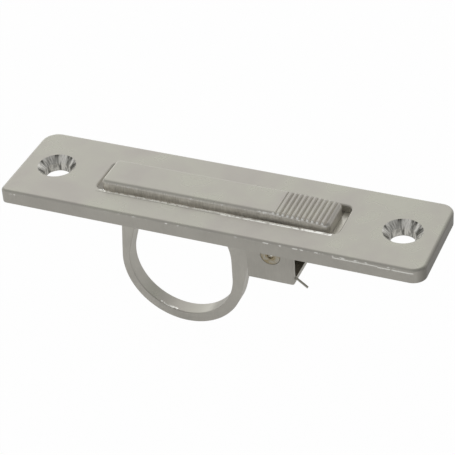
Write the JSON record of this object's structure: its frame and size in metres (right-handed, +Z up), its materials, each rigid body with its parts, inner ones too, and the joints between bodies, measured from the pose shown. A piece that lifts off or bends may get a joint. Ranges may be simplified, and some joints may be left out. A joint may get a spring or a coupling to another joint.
{
  "type": "floor latch ring pull",
  "caption": "Flush floor latch pull: long screw-on face plate with a grooved bar that tips up on a sprung pivot and brings out a finger ring for lifting a hatch.",
  "frame": {"origin": "midway between the two screw holes, on the plane of the rim that seats on the floor", "axes": "+X along the plate towards the grooved push end of the bar, +Z up out of the floor, +Y across the plate"},
  "size_m": [0.11, 0.0278, 0.0426],
  "materials": {
    "plate": "satin nickel plate on a zinc die casting",
    "ring": "satin nickel plate on a zinc die casting",
    "rivet": "worn plating with brass showing",
    "spring": "bare spring steel wire"
  },
  "bodies": {
    "plate": {"face_plate": "plate", "pivot_pin": "rivet", "torsion_spring": "spring"},
    "ring": {"ring_handle": "ring"}
  },
  "joints": [
    {"name": "ring_pivot", "type": "hinge", "parent": "plate", "child": "ring", "pos_m": [0.0144, 0, -0.0059], "axis": [0, 1, 0], "range_deg": [0, 90], "stiffness_Nm_per_rad": 0.0127, "springref_deg": -89.95, "deforming": ["torsion_spring"]}
  ]
}
